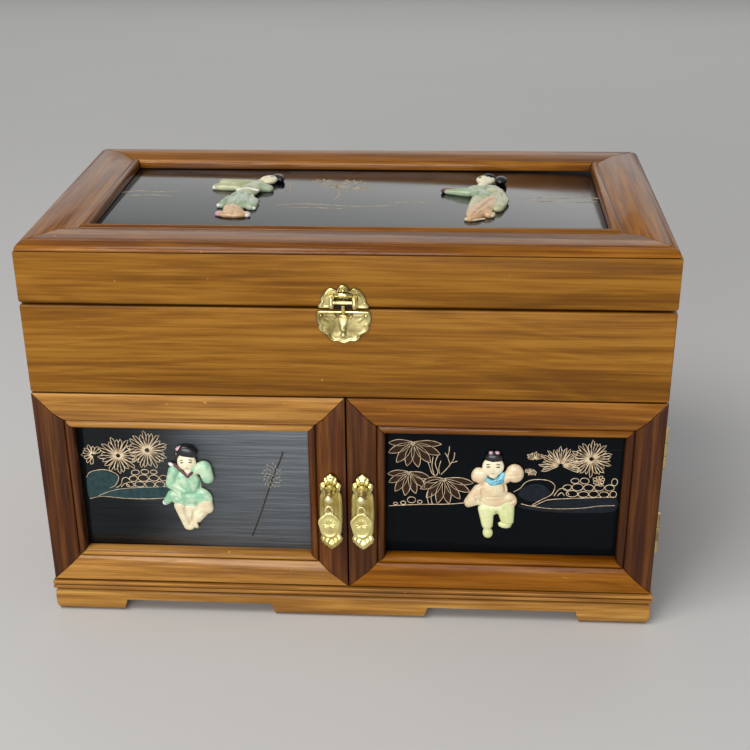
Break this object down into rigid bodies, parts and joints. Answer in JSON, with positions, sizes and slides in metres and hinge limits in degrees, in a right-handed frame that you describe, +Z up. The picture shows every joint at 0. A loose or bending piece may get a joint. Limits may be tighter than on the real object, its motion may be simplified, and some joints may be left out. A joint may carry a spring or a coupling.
{
  "type": "jewellery chest",
  "caption": "Lacquered wooden jewellery chest with a hinged lid over an open compartment and two panelled doors over drawers.",
  "frame": {"origin": "centre of the footprint, on the surface the feet stand on", "axes": "+X to the chest's right as seen from the front, -Y to the front, +Z up"},
  "size_m": [0.347, 0.2094, 0.2251],
  "materials": {
    "case_wood": "warm brown stain under gloss varnish, horizontal grain",
    "moulding_wood": "red-brown stain under gloss varnish",
    "inner_wood": "lightly stained, satin",
    "lacquer": "black gloss lacquer with fine gold line painting",
    "brass": "pressed brass, lightly tarnished",
    "velvet": "dark red velvet",
    "mirror": "silvered glass",
    "carved_stone": "painted carved soapstone, satin"
  },
  "bodies": {
    "case": {"back_board": "case_wood", "base_board": "case_wood", "compartment_divider": "velvet", "compartment_floor": "inner_wood", "drawer_divider": "inner_wood", "hinge_left_lower_case_leaf": "brass", "hinge_left_upper_case_leaf": "brass", "hinge_right_lower_case_leaf": "brass", "hinge_right_upper_case_leaf": "brass", "latch_plate": "brass", "lid_hinge_left_case_leaf": "brass", "lid_hinge_right_case_leaf": "brass", "plinth": "case_wood", "ring_pad": "velvet", "side_left": "case_wood", "side_right": "case_wood", "upper_front": "case_wood"},
    "lid": {"lady_left": "carved_stone", "lady_right": "carved_stone", "latch_keeper": "brass", "lid_hinge_left_lid_leaf": "brass", "lid_hinge_right_lid_leaf": "brass", "lid_lining": "velvet", "lid_mirror": "mirror", "lid_moulding_front": "moulding_wood", "lid_moulding_left": "moulding_wood", "lid_moulding_rear": "moulding_wood", "lid_moulding_right": "moulding_wood", "lid_panel": "lacquer", "lid_rim": "case_wood"},
    "latch": {"latch_lever": "brass"},
    "door_left": {"child_left": "carved_stone", "door_left_bottom_rail": "moulding_wood", "door_left_left_stile": "moulding_wood", "door_left_panel": "lacquer", "door_left_right_stile": "moulding_wood", "door_left_top_rail": "moulding_wood", "hinge_left_lower_door_leaf": "brass", "hinge_left_upper_door_leaf": "brass", "pull_plate_left": "brass"},
    "door_right": {"child_right": "carved_stone", "door_right_bottom_rail": "moulding_wood", "door_right_left_stile": "moulding_wood", "door_right_panel": "lacquer", "door_right_right_stile": "moulding_wood", "door_right_top_rail": "moulding_wood", "hinge_right_lower_door_leaf": "brass", "hinge_right_upper_door_leaf": "brass", "pull_plate_right": "brass"},
    "pull_left": {"pull_drop_left": "brass"},
    "pull_right": {"pull_drop_right": "brass"},
    "drawer_left_lower": {"drawer_left_lower": "inner_wood", "knob_left_lower": "brass"},
    "drawer_left_upper": {"drawer_left_upper": "inner_wood", "knob_left_upper": "brass"},
    "drawer_right_lower": {"drawer_right_lower": "inner_wood", "knob_right_lower": "brass"},
    "drawer_right_upper": {"drawer_right_upper": "inner_wood", "knob_right_upper": "brass"}
  },
  "joints": [
    {"name": "lid_hinge", "type": "hinge", "parent": "case", "child": "lid", "pos_m": [0, 0.10315, 0.1904], "axis": [-1, 0, 0], "range_deg": [0, 100]},
    {"name": "latch_lever_pivot", "type": "hinge", "parent": "case", "child": "latch", "pos_m": [0, -0.09175, 0.187], "axis": [-1, 0, 0], "range_deg": [0, 10], "stiffness_Nm_per_rad": 0.02},
    {"name": "door_left_hinge", "type": "hinge", "parent": "case", "child": "door_left", "pos_m": [-0.1719, -0.0765, 0.0803], "axis": [0, 0, -1], "range_deg": [0, 150]},
    {"name": "door_right_hinge", "type": "hinge", "parent": "case", "child": "door_right", "pos_m": [0.1719, -0.0765, 0.0803], "axis": [0, 0, 1], "range_deg": [0, 150]},
    {"name": "pull_left_swing", "type": "hinge", "parent": "door_left", "child": "pull_left", "pos_m": [-0.0088, -0.10265, 0.0819], "axis": [-1, 0, 0], "range_deg": [0, 70]},
    {"name": "pull_right_swing", "type": "hinge", "parent": "door_right", "child": "pull_right", "pos_m": [0.0088, -0.10265, 0.0819], "axis": [-1, 0, 0], "range_deg": [0, 70]},
    {"name": "drawer_left_lower_slide", "type": "slide", "parent": "case", "child": "drawer_left_lower", "axis": [0, -1, 0], "range_m": [0, 0.092]},
    {"name": "drawer_left_upper_slide", "type": "slide", "parent": "case", "child": "drawer_left_upper", "axis": [0, -1, 0], "range_m": [0, 0.061]},
    {"name": "drawer_right_lower_slide", "type": "slide", "parent": "case", "child": "drawer_right_lower", "axis": [0, -1, 0], "range_m": [0, 0.092]},
    {"name": "drawer_right_upper_slide", "type": "slide", "parent": "case", "child": "drawer_right_upper", "axis": [0, -1, 0], "range_m": [0, 0.061]}
  ],
  "couplings": [
    {"joint": "drawer_left_lower_slide", "follows": "door_left_hinge", "m_per_rad": 0.035},
    {"joint": "drawer_left_upper_slide", "follows": "door_left_hinge", "m_per_rad": 0.023},
    {"joint": "drawer_right_lower_slide", "follows": "door_right_hinge", "m_per_rad": 0.035},
    {"joint": "drawer_right_upper_slide", "follows": "door_right_hinge", "m_per_rad": 0.023}
  ]
}
